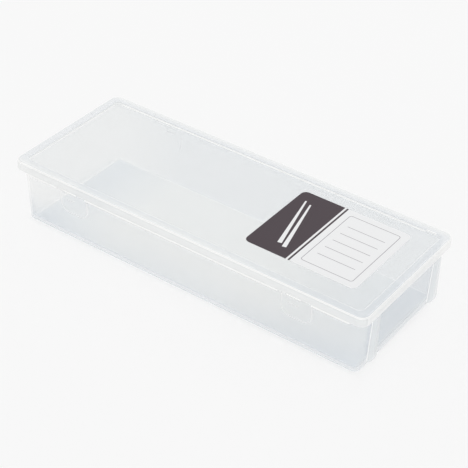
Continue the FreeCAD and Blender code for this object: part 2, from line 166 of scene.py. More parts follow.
class TraySettings(bpy.types.PropertyGroup):
    """Plastic of the tray."""
    face_colour: colour_property("Face colour", "Plastic of a broad wall", (0.596, 0.652, 0.712))
    cloud_colour: colour_property("Cloud colour", "Where the melt set milkier", (0.656, 0.699, 0.739))
    # Painted light and shade on the front wall: a paler copy of the plastic, painted shade in its middle and
    # at its foot, painted light at its left end
    front_colour: colour_property("Front colour", "Plastic of the front wall", (0.84, 0.852, 0.846))
    front_middle_colour: colour_property(
        "Front middle colour", "Middle of the front wall", (0.745, 0.762, 0.775)
    )
    front_end_colour: colour_property("Front end colour", "Left end of the front wall", (0.93, 0.938, 0.925))
    front_foot_colour: colour_property("Front foot colour", "Foot of the front wall", (0.66, 0.712, 0.76))
    # Painted light: the left end wall is paler and clearer than the other walls
    left_colour: colour_property("Left colour", "Plastic of the left end wall", (0.675, 0.705, 0.712))
    # Painted shade: the flat of the floor is darker and bluer near the ends and paler in the middle
    floor_colour: colour_property("Floor colour", "Flat of the floor, near the ends", (0.69, 0.742, 0.792))
    floor_middle_colour: colour_property(
        "Floor middle colour", "Flat of the floor, in the middle", (0.83, 0.848, 0.842)
    )
    fin_colour: colour_property("Fin colour", "Plastic of the fins", (0.83, 0.855, 0.865))
    # Painted highlight: near-white colour laid on edges where light would catch them
    edge_colour: colour_property("Edge colour", "Edges that gather light", (0.985, 0.985, 0.975))
    haze: share_property("Haze", "Share of light that a wall's near face scatters", 0.3)
    front_haze: share_property("Front haze", "Share of light that the front wall scatters", 0.25)
    left_haze: share_property("Left haze", "Share of light that the left end's near face scatters", 0.185)
    back_haze: share_property("Back haze", "Share of the haze that a wall's far face keeps", 0.25)
    edge_back_haze: share_property("Edge back haze", "Share of its haze an edge keeps from behind", 0.15)
    base_haze: share_property("Base haze", "Share of light that the rounded base edge scatters", 0.54)
    # Strengths of the painted highlight lines round the floor and round the thumb pads
    floor_line: share_property("Floor line", "Strength of the line round the floor elsewhere", 0.6)
    front_floor_line: share_property("Front floor line", "Strength of the line at the floor's front", 0.15)
    pad_line: share_property("Pad line", "Strength of the pale line round a thumb pad in front", 0.62)
    back_pad_line: share_property("Back pad line", "Strength of the line round a back thumb pad", 0.3)
    tucked_haze: share_property("Tucked haze", "Share of light that a face under the rim scatters", 0.04)
    lamp_haze: share_property("Lamp haze", "Share of the haze that holds lamp light back", 0.35)
    floor_haze: share_property("Floor haze", "Share of light that the floor's near face scatters", 0.43)
    fin_haze: share_property("Fin haze", "Share of light that a fin's near face scatters", 0.6)
    # Haze of the painted highlights on edges
    edge_haze: share_property("Edge haze", "Share of light that an edge scatters", 0.85)
    roughness: share_property("Roughness", "Softness of the reflections", 0.32)
    edge_roughness: share_property("Edge roughness", "Softness of the reflections on bright edges", 0.22)
    skirt_bottom: length_property("Skirt bottom", "Underside to the lower edge of the lid's skirt", 0.0405)
    ledge_reach: length_property("Ledge reach", "Middle line to the bright rim of the ledges", 0.052)
    end_reach: length_property("End reach", "Middle to an end wall's outer face, at its foot", 0.1297)
    side_reach: length_property("Side reach", "Middle to a side wall's outer face, at its foot", 0.0472)
    half_wall: length_property("Half wall", "Half the thickness of a wall", 0.0006)
    wall_lean: share_property("Wall lean", "How far a wall leans out for its height", 0.0428)
    fin_place: length_property("Fin place", "Middle line to the middle of a fin", 0.0355)
    fin_wall: length_property("Fin wall", "Thickness of a fin", 0.0026)
    floor_length: length_property("Floor length", "Flat of the floor, along the tray", 0.2516)
    floor_width: length_property("Floor width", "Flat of the floor, across the tray", 0.0866)
    floor_corner: length_property("Floor corner", "Corner of the flat of the floor", 0.0008)
    floor_top: length_property("Floor top", "Top of the floor above the underside", 0.0014)
    grip_place: length_property("Grip place", "Middle to the middle of a thumb pad, along the tray", 0.0865)
    pad_width: length_property("Pad width", "Thumb pad, along the tray", 0.022)
    pad_foot: length_property("Pad foot", "Underside to the lower edge of a thumb pad", 0.0216)
    pad_corner: length_property("Pad corner", "Lower corners of a thumb pad", 0.0065)


class LidSettings(bpy.types.PropertyGroup):
    """Plastic of the lid."""
    face_colour: colour_property("Face colour", "Plastic of the broad panel", (0.71, 0.742, 0.75))
    cloud_colour: colour_property("Cloud colour", "Where the melt set milkier", (0.76, 0.785, 0.786))
    rim_colour: colour_property("Rim colour", "Plastic of the rim's top", (0.7, 0.735, 0.765))
    long_rim_colour: colour_property("Long rim colour", "Rim's top on the long sides", (0.795, 0.818, 0.822))
    skirt_colour: colour_property("Skirt colour", "Plastic of the skirt", (0.87, 0.882, 0.877))
    # Painted highlight: near-white colour laid on edges where light would catch them
    edge_colour: colour_property("Edge colour", "Edges that gather light", (0.985, 0.985, 0.975))
    haze: share_property("Haze", "Share of light that the panel's near face scatters", 0.28)
    back_haze: share_property("Back haze", "Share of the haze that a wall's far face keeps", 0.25)
    edge_back_haze: share_property("Edge back haze", "Share of its haze an edge keeps from behind", 0.45)
    lamp_haze: share_property("Lamp haze", "Share of the haze that holds lamp light back", 0.35)
    rim_haze: share_property("Rim haze", "Share of light that the rim's top scatters", 0.48)
    skirt_haze: share_property("Skirt haze", "Share of light that the skirt's outer face scatters", 0.62)
    # Haze of the painted light on the end skirts
    end_skirt_haze: share_property("End skirt haze", "Share of light that an end skirt scatters", 0.75)
    # Strengths of painted highlight lines on the lid
    left_step_line: share_property("Left step line", "Strength of the step's line on the left", 0.8)
    faint_line: share_property("Faint line", "Strength of the lines at the foot of skirt and tabs", 0.35)
    tab_haze: share_property("Tab haze", "Share of light that one face of a pull tab scatters", 0.1)
    tucked_haze: share_property("Tucked haze", "Share of light that a face under the rim scatters", 0.05)
    # Haze of the painted highlights on edges
    edge_haze: share_property("Edge haze", "Share of light that an edge scatters", 0.85)
    roughness: share_property("Roughness", "Softness of the reflections", 0.26)
    edge_roughness: share_property("Edge roughness", "Softness of the reflections on bright edges", 0.14)
    corner: length_property("Corner", "Outer corner of the skirt", 0.0062)
    tab_relief: length_property("Tab relief", "How far a pull tab stands out from the skirt", 0.0006)
    tab_drop: length_property("Tab drop", "How far a pull tab hangs below the skirt", 0.0056)
    tab_root: length_property("Tab root", "How far a pull tab's thick part reaches up the skirt", 0.0005)
    rim_width: length_property("Rim width", "Skirt's outer face to the step down to the panel", 0.00622)
    rim_inner_corner: length_property("Rim inner corner", "Corner of the step down to the panel", 0.0036)
    edge_round: length_property("Edge round", "Rounding of the rim's outer top edge", 0.0019)
    panel_drop: length_property("Panel drop", "Top of the rim down to the panel", 0.0017)
    skirt_depth: length_property("Skirt depth", "Top of the rim to the lower edge of the skirt", 0.0065)


class LabelSettings(bpy.types.PropertyGroup):
    """Colours and layout of the label."""
    film_colour: colour_property("Film colour", "Unprinted film", (0.845, 0.85, 0.855))
    band_colour: colour_property("Band colour", "Dark print", (0.05, 0.034, 0.042))
    ink_colour: colour_property("Ink colour", "Rules and frame on the pale part", (0.3, 0.29, 0.31))
    lamp_haze: share_property("Lamp haze", "Share of lamp light that the film holds back", 0.12)
    band_length: length_property("Band length", "Dark band, along the label", 0.031)
    stripe_length: length_property("Stripe length", "Dark stripe beside the band, along the label", 0.0013)
    stripe_gap: length_property("Stripe gap", "Pale gap between band and stripe", 0.0014)
    margin: length_property("Margin", "Edge of the label to the frame", 0.005)
    line_width: length_property("Line width", "Rules and frame", 0.0004)
    frame_corner: length_property("Frame corner", "Corner of the frame", 0.002)
    stick_length: share_property("Stick length", "Length of a stick, as a share of the label's width", 0.72)
    stick_width: length_property("Stick width", "Mean width of a stick", 0.002)
    stick_taper: share_property("Stick taper", "How much a stick narrows from its middle to its tip", 0.45)
    stick_lean: angle_property("Stick lean", "Lean of the sticks from across the label", 14.0)
    stick_spacing: share_property("Stick spacing", "Between the sticks, as a share of the band", 0.15)
    stick_stagger: length_property("Stick stagger", "How far one stick is shifted past the other", 0.002)
    roughness: share_property("Roughness", "Softness of the reflections on plain film", 0.46)
    band_gloss: share_property("Band gloss", "How much smoother the dark print is", 0.06)


class StudioSettings(bpy.types.PropertyGroup):
    """Camera, light and floor."""
    camera_place: place_property("Camera place", "Where the camera stands", (0.4392, -0.6217, 0.5735))
    camera_heading: angle_property("Camera heading", "Direction of view from +X, seen from above", 124.887)
    camera_dip: angle_property("Camera dip", "How far the camera looks down", 36.157)
    camera_roll: angle_property("Camera roll", "Turn of the camera about its view", 1.88)
    lens: FloatProperty(
        name="Lens", description="Focal length, for a sensor 36 mm wide", unit="CAMERA", default=112.4
    )
    ground_colour: colour_property(
        "Ground colour", "Floor and surround as the camera sees them", (0.939, 0.939, 0.939)
    )
    shadow_share: share_property("Shadow share", "How much of the floor takes light and shadow", 0.13)
    dome_strength: FloatProperty(
        name="Dome strength", description="Even light from all round", min=0.0, default=0.69
    )
    left_place: place_property("Left softbox place", "Lamp overhead to the left", (-0.52, 0.11, 0.99))
    left_size: length_property("Left softbox size", "Lamp overhead to the left", 0.3)
    left_power: power_property("Left softbox power", "Lamp overhead to the left", 1.9)
    back_place: place_property("Back softbox place", "Lamp overhead at the back", (0.1, 0.76, 0.88))
    back_size: length_property("Back softbox size", "Lamp overhead at the back", 0.3)
    back_power: power_property("Back softbox power", "Lamp overhead at the back", 1.9)
    front_place: place_property("Front lamp place", "Lamp from the front", (0.6, -0.98, 0.65))
    front_size: length_property("Front lamp size", "Lamp from the front", 0.6)
    front_power: power_property("Front lamp power", "Lamp from the front", 3.0)


class BoxSettings(bpy.types.PropertyGroup):
    """All the settings of the chopstick box."""
    tray: PointerProperty(type=TraySettings)
    lid: PointerProperty(type=LidSettings)
    label: PointerProperty(type=LabelSettings)
    studio: PointerProperty(type=StudioSettings)


def put(tree, socket, value):
    """Link a socket to another one, or set its number."""
    if isinstance(value, bpy.types.NodeSocket):
        tree.links.new(value, socket)
    else:
        socket.default_value = value


def opaque(colour):
    """A colour with full alpha."""
    return (*colour, 1.0)


def add_node(tree, kind, inputs=None, **attributes):
    """A node with its attributes, and its inputs set or linked."""
    item = tree.nodes.new(kind)
    for name, value in attributes.items():
        setattr(item, name, value)
    for name, value in (inputs or {}).items():
        put(tree, item.inputs[name], value)
    return item


def calc(tree, operation, *values, clamp=False):
    """The result of one sum on sockets or numbers."""
    item = add_node(tree, "ShaderNodeMath", operation=operation, use_clamp=clamp)
    for socket, value in zip(item.inputs, values):
        put(tree, socket, value)
    return item.outputs[0]


def mix_colour(tree, share, first, second):
    """A colour between two others."""
    item = add_node(tree, "ShaderNodeMix", data_type="RGBA")
    sockets = {socket.identifier: socket for socket in item.inputs}
    put(tree, sockets["Factor_Float"], share)
    for name, value in (("A_Color", first), ("B_Color", second)):
        put(tree, sockets[name], value if isinstance(value, bpy.types.NodeSocket) else opaque(value))
    return next(socket for socket in item.outputs if socket.identifier == "Result_Color")


def mix_value(tree, share, first, second):
    """A number between two others."""
    return calc(tree, "MULTIPLY_ADD", share, calc(tree, "SUBTRACT", second, first), first)


def ramp(tree, value, low, high):
    """0 up to the first length, 1 from the second one on, straight between them."""
    return add_node(
        tree, "ShaderNodeMapRange", {"Value": value, "From Min": low, "From Max": high}
    ).outputs["Result"]


def band(tree, value, low, high):
    """1 between two lengths, fading to 0 past each."""
    return calc(tree, "MULTIPLY", ramp(tree, value, low - SOFT, low), ramp(tree, value, high + SOFT, high))


def every(tree, *masks):
    """Where all the masks meet."""
    total = masks[0]
    for other in masks[1:]:
        total = calc(tree, "MULTIPLY", total, other)
    return total


def union(tree, *masks):
    """Where any of the masks lies."""
    total = masks[0]
    for other in masks[1:]:
        total = calc(tree, "MAXIMUM", total, other)
    return total


def new_group(name, inputs, outputs):
    """An empty shader group with number sockets, given as names and defaults."""
    group = bpy.data.node_groups.new(name, "ShaderNodeTree")
    for socket_name, default in inputs.items():
        socket = group.interface.new_socket(name=socket_name, in_out="INPUT", socket_type="NodeSocketFloat")
        socket.default_value = default
    for socket_name in outputs:
        group.interface.new_socket(name=socket_name, in_out="OUTPUT", socket_type="NodeSocketFloat")
    return group, group.nodes.new("NodeGroupInput").outputs, group.nodes.new("NodeGroupOutput").inputs


def use_group(tree, maker, inputs):
    """A group, made the first time it is asked for, with its inputs set or linked."""
    group = bpy.data.node_groups.get(maker.__name__) or maker()
    item = add_node(tree, "ShaderNodeGroup", node_tree=group)
    for name, value in inputs.items():
        put(tree, item.inputs[name], value)
    return item.outputs


def moulded_skin():
    """Cloudiness, frost and grain of moulded plastic."""
    tree, given, result = new_group(
        "moulded_skin",
        {"Cloud Scale": 14.0, "Grain Scale": 2600.0, "Frost": 0.2},
        ("Cloud", "Roughness", "Height"),
    )
    place = add_node(tree, "ShaderNodeTexCoord").outputs["Object"]
    stretch = add_node(
        tree, "ShaderNodeMapping", {"Vector": place, "Scale": CLOUD_STRETCH}
    ).outputs["Vector"]
    cloud = add_node(
        tree, "ShaderNodeTexNoise",
        {"Vector": stretch, "Scale": given["Cloud Scale"], "Detail": 3.0, "Roughness": 0.55},
    ).outputs["Fac"]
    grain = add_node(
        tree, "ShaderNodeTexNoise",
        {"Vector": place, "Scale": given["Grain Scale"], "Detail": 2.0, "Roughness": 0.6},
    ).outputs["Fac"]
    cloud_change = calc(tree, "SUBTRACT", cloud, NOISE_MIDDLE)
    frost = calc(tree, "MULTIPLY_ADD", cloud_change, CLOUD_FROST, given["Frost"])
    grain_change = calc(tree, "SUBTRACT", grain, NOISE_MIDDLE)
    frost = calc(tree, "MULTIPLY_ADD", grain_change, GRAIN_FROST, frost, clamp=True)
    for socket_name, value in (("Cloud", cloud), ("Roughness", frost), ("Height", grain)):
        put(tree, result[socket_name], value)
    return tree


def rounded_outline():
    """Distance from a round-cornered rectangle in plan, and how far a point lies round its corner."""
    tree, given, result = new_group(
        "rounded_outline",
        {"X": 0.0, "Y": 0.0, "Half Length": 0.1, "Half Width": 0.05, "Corner": 0.005},
        ("Distance", "Round Corner"),
    )
    past = []
    for place, half in (("X", "Half Length"), ("Y", "Half Width")):
        straight = calc(tree, "SUBTRACT", given[half], given["Corner"])
        past.append(calc(tree, "SUBTRACT", calc(tree, "ABSOLUTE", given[place]), straight))
    far = [calc(tree, "MAXIMUM", length, 0.0) for length in past]
    squares = [calc(tree, "MULTIPLY", length, length) for length in far]
    outside = calc(tree, "SQRT", calc(tree, "ADD", *squares))
    inside = calc(tree, "MINIMUM", calc(tree, "MAXIMUM", *past), 0.0)
    distance = calc(tree, "SUBTRACT", calc(tree, "ADD", outside, inside), given["Corner"])
    put(tree, result["Distance"], distance)
    put(tree, result["Round Corner"], calc(tree, "MINIMUM", *past))
    return tree


def outline(tree, place, length, width, corner):
    """The outline group, for a rectangle of a length and a width."""
    inputs = {
        "X": place["X"], "Y": place["Y"],
        "Half Length": length / 2, "Half Width": width / 2, "Corner": corner,
    }
    return use_group(tree, rounded_outline, inputs)


def object_place(tree):
    """The three coordinates on the piece itself."""
    place = add_node(tree, "ShaderNodeTexCoord").outputs["Object"]
    return add_node(tree, "ShaderNodeSeparateXYZ", {"Vector": place}).outputs


def print_mark():
    """One printed mark: a straight bar with round corners that can taper and turn."""
    tree, given, result = new_group(
        "print_mark",
        {
            "X": 0.0, "Y": 0.0, "Middle X": 0.0, "Middle Y": 0.0, "Half Length": 0.01, "Half Width": 0.001,
            "Taper": 0.0, "Turn": 0.0, "Corner": MARK_CORNER,
        },
        ("Mask",),
    )
    x = calc(tree, "SUBTRACT", given["X"], given["Middle X"])
    y = calc(tree, "SUBTRACT", given["Y"], given["Middle Y"])
    cosine = calc(tree, "COSINE", given["Turn"])
    sine = calc(tree, "SINE", given["Turn"])
    along = calc(tree, "ADD", calc(tree, "MULTIPLY", x, cosine), calc(tree, "MULTIPLY", y, sine))
    across = calc(tree, "SUBTRACT", calc(tree, "MULTIPLY", y, cosine), calc(tree, "MULTIPLY", x, sine))
    reach = calc(tree, "DIVIDE", along, given["Half Length"])
    narrowing = calc(tree, "SUBTRACT", 1.0, calc(tree, "MULTIPLY", reach, given["Taper"]))
    bar = use_group(tree, rounded_outline, {
        "X": along, "Y": across, "Half Length": given["Half Length"],
        "Half Width": calc(tree, "MULTIPLY", given["Half Width"], narrowing), "Corner": given["Corner"],
    })
    put(tree, result["Mask"], ramp(tree, bar["Distance"], PRINT_SOFT, -PRINT_SOFT))
    return tree


def empty_tree(owner):
    """The node tree of a material or a world, with nothing in it."""
    owner.use_nodes = True
    owner.node_tree.nodes.clear()
    return owner.node_tree


def clear_material(name):
    """A material, its node tree, and its one shader, which is linked to the output."""
    material = bpy.data.materials.new(name)
    tree = empty_tree(material)
    shader = tree.nodes.new("ShaderNodeBsdfPrincipled")
    output = tree.nodes.new("ShaderNodeOutputMaterial")
    tree.links.new(shader.outputs["BSDF"], output.inputs["Surface"])
    return material, tree, shader


def dress(node, material):
    """Give a CAD node its material."""
    node.data.materials.clear()
    node.data.materials.append(material)


def lamp_share(tree, haze):
    """1 for what the camera sees, and less for light on its way in."""
    eye = add_node(tree, "ShaderNodeLightPath").outputs["Is Camera Ray"]
    return calc(tree, "MULTIPLY_ADD", eye, 1.0 - haze, haze)


def skin_share(tree, back_haze):
    """1 on the side of a wall that faces the ray, and less on its far side."""
    behind = add_node(tree, "ShaderNodeNewGeometry").outputs["Backfacing"]
    return calc(tree, "MULTIPLY_ADD", behind, calc(tree, "SUBTRACT", back_haze, 1.0), 1.0)


def frosted_plastic(name, settings, find_zones):
    """Frosted plastic with cloudiness and fine grain, and zones of another colour and haze laid over it,
    many of them painted light, painted shade or painted highlights.
    """
    material, tree, shader = clear_material(name)
    skin = use_group(tree, moulded_skin, {"Frost": settings.roughness})
    colour = mix_colour(tree, skin["Cloud"], settings.face_colour, settings.cloud_colour)
    cloudiness = calc(tree, "MULTIPLY_ADD", skin["Cloud"], CLOUD_HAZE, CLEAR_HAZE)
    haze = calc(tree, "MULTIPLY", cloudiness, settings.haze)
    zones = find_zones(tree, settings)
    for mask, zone_colour, zone_haze in zones:
        colour = mix_colour(tree, mask, colour, zone_colour)
        haze = mix_value(tree, mask, haze, zone_haze)
    # The last zone is the painted highlight on edges, which is also glossier and keeps more haze from behind
    painted_highlight = zones[-1][0]
    roughness = mix_value(tree, painted_highlight, skin["Roughness"], settings.edge_roughness)
    bump = add_node(
        tree, "ShaderNodeBump",
        {"Height": skin["Height"], "Strength": PLASTIC_BUMP, "Distance": BUMP_DISTANCE},
    )
    put(tree, shader.inputs["Base Color"], colour)
    back_haze = mix_value(tree, painted_highlight, settings.back_haze, settings.edge_back_haze)
    share = calc(tree, "MULTIPLY", lamp_share(tree, settings.lamp_haze), skin_share(tree, back_haze))
    put(tree, shader.inputs["Alpha"], calc(tree, "MULTIPLY", haze, share))
    put(tree, shader.inputs["Roughness"], roughness)
    put(tree, shader.inputs["Normal"], bump.outputs["Normal"])
    shader.inputs["IOR"].default_value = PLASTIC_IOR
    return material


def tray_floor(tree, settings, place):
    """Masks of the flat floor, for its painted shade, of the painted highlight line round it, and of the
    rounded base edge, for its painted shade.
    """
    plan = outline(tree, place, settings.floor_length, settings.floor_width, settings.floor_corner)
    flat = plan["Distance"]
    low = ramp(tree, place["Z"], *from_start(settings.floor_top, FLOOR_SKIN))
    floor = every(tree, low, ramp(tree, flat, SOFT, 0.0))
    not_front = ramp(tree, place["Y"], *shares_of(settings.floor_width, BEHIND_FRONT_EDGE))
    strength = mix_value(tree, not_front, settings.front_floor_line, settings.floor_line)
    line = every(tree, low, band(tree, flat, *FLOOR_LINE), strength)
    # The rounded base edge, except at the back, gets painted shade
    base = every(
        tree,
        ramp(tree, place["Y"], *shares_of(settings.floor_width, BEFORE_BACK_EDGE)),
        ramp(tree, place["Z"], *from_start(settings.floor_top, BASE_HEIGHT)),
        ramp(tree, flat, *BASE_REACH),
    )
    return floor, line, base


def tray_fins(tree, settings, place, side):
    """Masks of the fins and of the painted highlight line at their root."""
    end_face = calc(tree, "MULTIPLY_ADD", place["Z"], settings.wall_lean, settings.end_reach)
    past_end = calc(tree, "SUBTRACT", place["X"], end_face)
    from_fin = calc(tree, "ABSOLUTE", calc(tree, "SUBTRACT", side, settings.fin_place))
    half_fin = settings.fin_wall / 2
    on_fin = ramp(tree, from_fin, half_fin + 2 * SOFT, half_fin + SOFT)
    fin = every(tree, on_fin, ramp(tree, past_end, 0.0, SOFT))
    above_foot = ramp(tree, place["Z"], *shares_of(settings.floor_top, FIN_FOOT))
    # Painted highlight line at the root of each fin
    root = every(tree, on_fin, band(tree, past_end, *FIN_LINE), above_foot)
    return fin, root


def tray_pads(tree, settings, place, side, front):
    """Masks of the thumb pads' outlines: the back ones alone, and all of them as painted highlight lines."""
    along = calc(tree, "SUBTRACT", calc(tree, "ABSOLUTE", place["X"]), settings.grip_place)
    up = calc(tree, "SUBTRACT", place["Z"], (settings.pad_foot + settings.skirt_bottom) / 2)
    height = settings.skirt_bottom - settings.pad_foot
    pad = outline(tree, {"X": along, "Y": up}, settings.pad_width, height, settings.pad_corner)
    foot_middle = settings.side_reach - settings.half_wall
    wall_middle = calc(tree, "MULTIPLY_ADD", place["Z"], settings.wall_lean, foot_middle)
    outside = ramp(tree, calc(tree, "SUBTRACT", side, wall_middle), 0.0, SOFT)
    edge = every(tree, outside, band(tree, pad["Distance"], *PAD_LINE))
    back = every(tree, edge, ramp(tree, place["Y"], 0.0, SOFT))
    strength = mix_value(tree, front, settings.back_pad_line, settings.pad_line)
    return back, every(tree, edge, strength)


def tray_tucked(tree, settings, place):
    """Mask of the walls' outer faces that lie under the lid's rim."""
    lean = settings.wall_lean * settings.skirt_bottom - settings.half_wall
    length = 2 * (settings.end_reach + lean)
    width = 2 * (settings.side_reach + lean)
    wall = outline(tree, place, length, width, settings.floor_corner)
    above = ramp(tree, place["Z"], settings.skirt_bottom - 3 * SOFT, settings.skirt_bottom - 2 * SOFT)
    return every(tree, ramp(tree, wall["Distance"], 0.0, SOFT), above)


def tray_zones(tree, settings):
    """Zones of the tray in the order they are laid on, as mask, colour and haze, with painted light and
    shade on the front wall, left end, floor and base edge. Painted highlights on edges come last.
    """
    place = object_place(tree)
    length = settings.floor_length
    side = calc(tree, "ABSOLUTE", place["Y"])
    from_middle = calc(tree, "ABSOLUTE", place["X"])
    # Mask of the painted light on the left end
    left_end_light = ramp(tree, place["X"], *shares_of(length, LEFT_END))
    # Painted light on the front wall, with painted shade in its middle and along its foot
    front = ramp(tree, place["Y"], *from_start(-settings.floor_width / 2, FRONT_FADE))
    front_middle_shade = every(tree, front, ramp(tree, from_middle, *shares_of(length, FRONT_MIDDLE)))
    front_foot_shade = every(tree, front, ramp(tree, place["Z"], *shares_of(settings.skirt_bottom, FRONT_FOOT)))
    # Painted highlight along the rim of the front ledge
    ledge_highlight = every(tree, front, ramp(tree, side, settings.ledge_reach - SOFT, settings.ledge_reach))
    floor, floor_line, base = tray_floor(tree, settings, place)
    fin, fin_root_highlight = tray_fins(tree, settings, place, side)
    back_pad, pad_line = tray_pads(tree, settings, place, side, front)
    # Painted shade on the floor, strongest towards both ends
    near_end = union(
        tree,
        ramp(tree, place["X"], *shares_of(length, FLOOR_RIGHT)),
        ramp(tree, place["X"], *shares_of(length, FLOOR_LEFT)),
    )
    floor_colour = mix_colour(tree, near_end, settings.floor_middle_colour, settings.floor_colour)
    return (
        # Painted light: the left end wall is paler and clearer
        (left_end_light, settings.left_colour, settings.left_haze),
        # Painted light on the front wall, painted shade in its middle and at its foot, painted light at its
        # left end
        (front, settings.front_colour, settings.front_haze),
        (front_middle_shade, settings.front_middle_colour, settings.front_haze),
        (every(tree, front, left_end_light), settings.front_end_colour, settings.front_haze),
        (front_foot_shade, settings.front_foot_colour, settings.haze),
        # Painted shade on the flat of the floor
        (floor, floor_colour, settings.floor_haze),
        # Painted shade: the rounded base edge takes the dark foot colour
        (base, settings.front_foot_colour, settings.base_haze),
        (back_pad, settings.fin_colour, settings.tucked_haze),
        (fin, settings.fin_colour, settings.fin_haze),
        (tray_tucked(tree, settings, place), settings.fin_colour, settings.tucked_haze),
        # Painted highlights: ledge rim, fin roots, line round the floor and thumb pad outlines
        (union(tree, ledge_highlight, fin_root_highlight, floor_line, pad_line), settings.edge_colour, settings.edge_haze),
    )


def lid_rim(tree, settings, place, step):
    """Masks of the rim, of its top, and of the paler stretches of its top on the long sides."""
    width = settings.rim_width
    rim = ramp(tree, step["Distance"], -SOFT, 0.0)
    top = every(tree, rim, ramp(tree, place["Z"], *from_start(LID_HIGH.z, RIM_TOP)))
    front = ramp(tree, place["Y"], width - LID_HIGH.y, width / 2 - LID_HIGH.y)
    back = ramp(tree, place["Y"], LID_HIGH.y - width, LID_HIGH.y - width / 2)
    front_left = every(tree, front, ramp(tree, place["X"], *shares_of(LID_HIGH.x, PALE_RIM)))
    return rim, top, every(tree, top, union(tree, front_left, back))


def lid_step_line(tree, settings, place, step):
    """Mask of the painted highlight on the step to the panel: its upper half in front, its lower half
    behind.
    """
    panel_top = LID_HIGH.z - settings.panel_drop
    middle = panel_top + settings.panel_drop / 2
    near_corner = every(tree, ramp(tree, place["X"], 0.0, SOFT), ramp(tree, place["Y"], 0.0, -SOFT))
    straight = union(tree, near_corner, ramp(tree, step["Round Corner"], 0.0, -2 * SOFT))
    diagonal = calc(tree, "MULTIPLY", place["X"], LID_HIGH.y / LID_HIGH.x)
    far_side = ramp(tree, calc(tree, "SUBTRACT", place["Y"], diagonal), -SOFT, SOFT)
    upper = ramp(tree, place["Z"], middle - 2 * SOFT, middle)
    lower = band(tree, place["Z"], panel_top - SOFT, middle)
    left_step = settings.rim_width - LID_HIGH.x
    not_left = ramp(tree, place["X"], left_step, left_step + settings.rim_width)
    return every(
        tree,
        straight,
        band(tree, step["Distance"], *STEP_LINE),
        mix_value(tree, far_side, upper, lower),
        mix_value(tree, not_left, settings.left_step_line, 1.0),
    )


def lid_zones(tree, settings):
    """Zones of the lid in the order they are laid on, as mask, colour and haze. The end skirts take painted
    light, and painted highlights on edges come last.
    """
    place = object_place(tree)
    length = 2 * LID_HIGH.x
    width = 2 * (LID_HIGH.y - settings.tab_relief)
    rims = 2 * settings.rim_width
    skirt = outline(tree, place, length, width, settings.corner)["Distance"]
    step = outline(tree, place, length - rims, width - rims, settings.rim_inner_corner)
    rim, rim_top, long_rim = lid_rim(tree, settings, place, step)
    panel_top = LID_HIGH.z - settings.panel_drop
    low_panel = ramp(tree, place["Z"], panel_top - SOFT, panel_top - 3 * SOFT)
    skirt_face = ramp(tree, skirt, *SKIRT_SKIN)
    from_middle = calc(tree, "ABSOLUTE", place["X"])
    # Mask of the end skirts, which get painted light
    end_face = ramp(tree, from_middle, *from_start(LID_HIGH.x, SKIRT_SKIN))
    # Painted highlight along the rim's rounded outer top edge
    rounding = every(
        tree,
        ramp(tree, skirt, *shares_of(settings.edge_round, ROUNDING_IN)),
        band(tree, place["Z"], *from_start(LID_HIGH.z, shares_of(settings.edge_round, ROUNDING_LINE))),
    )
    skirt_bottom = LID_HIGH.z - settings.skirt_depth
    tab = ramp(tree, place["Z"], skirt_bottom, skirt_bottom - SOFT)
    on_tab = ramp(tree, skirt, 0.0, settings.tab_relief / 2)
    # Painted highlight on the top of each pull tab
    tab_bar_highlight = every(tree, on_tab, ramp(tree, place["Z"], skirt_bottom - settings.tab_root, skirt_bottom))
    # Faint painted highlights along the foot of the skirt and of the pull tabs
    skirt_edge = band(tree, place["Z"], *from_start(skirt_bottom, SKIRT_LINE))
    tab_edge = ramp(tree, place["Z"], *from_start(skirt_bottom - settings.tab_drop, TAB_FOOT))
    faint = calc(tree, "MULTIPLY", union(tree, skirt_edge, tab_edge), settings.faint_line)
    edge = union(tree, rounding, lid_step_line(tree, settings, place, step), tab_bar_highlight, faint)
    return (
        (union(tree, rim, low_panel), settings.rim_colour, settings.tucked_haze),
        (rim_top, settings.rim_colour, settings.rim_haze),
        (long_rim, settings.long_rim_colour, settings.rim_haze),
        (skirt_face, settings.skirt_colour, settings.skirt_haze),
        # Painted light: the end skirts take the painted highlight colour
        (every(tree, skirt_face, end_face), settings.edge_colour, settings.end_skirt_haze),
        (tab, settings.skirt_colour, settings.tab_haze),
        # Painted highlights on the rim's rounding, the step, the pull tabs and the foot of the skirt
        (edge, settings.edge_colour, settings.edge_haze),
    )


class CHOPSTICKBOX_OT_tray(bpy.types.Operator):
    """Finish the tray in frosted plastic"""
    bl_idname = "chopstick_box.tray"
    bl_label = "Tray"

    def execute(self, context):
        dress(TRAY, frosted_plastic("tray_frosted_plastic", context.scene.chopstick_box.tray, tray_zones))
        return {"FINISHED"}


class CHOPSTICKBOX_OT_lid(bpy.types.Operator):
    """Finish the lid in frosted plastic"""
    bl_idname = "chopstick_box.lid"
    bl_label = "Lid"

    def execute(self, context):
        dress(LID, frosted_plastic("lid_frosted_plastic", context.scene.chopstick_box.lid, lid_zones))
        return {"FINISHED"}


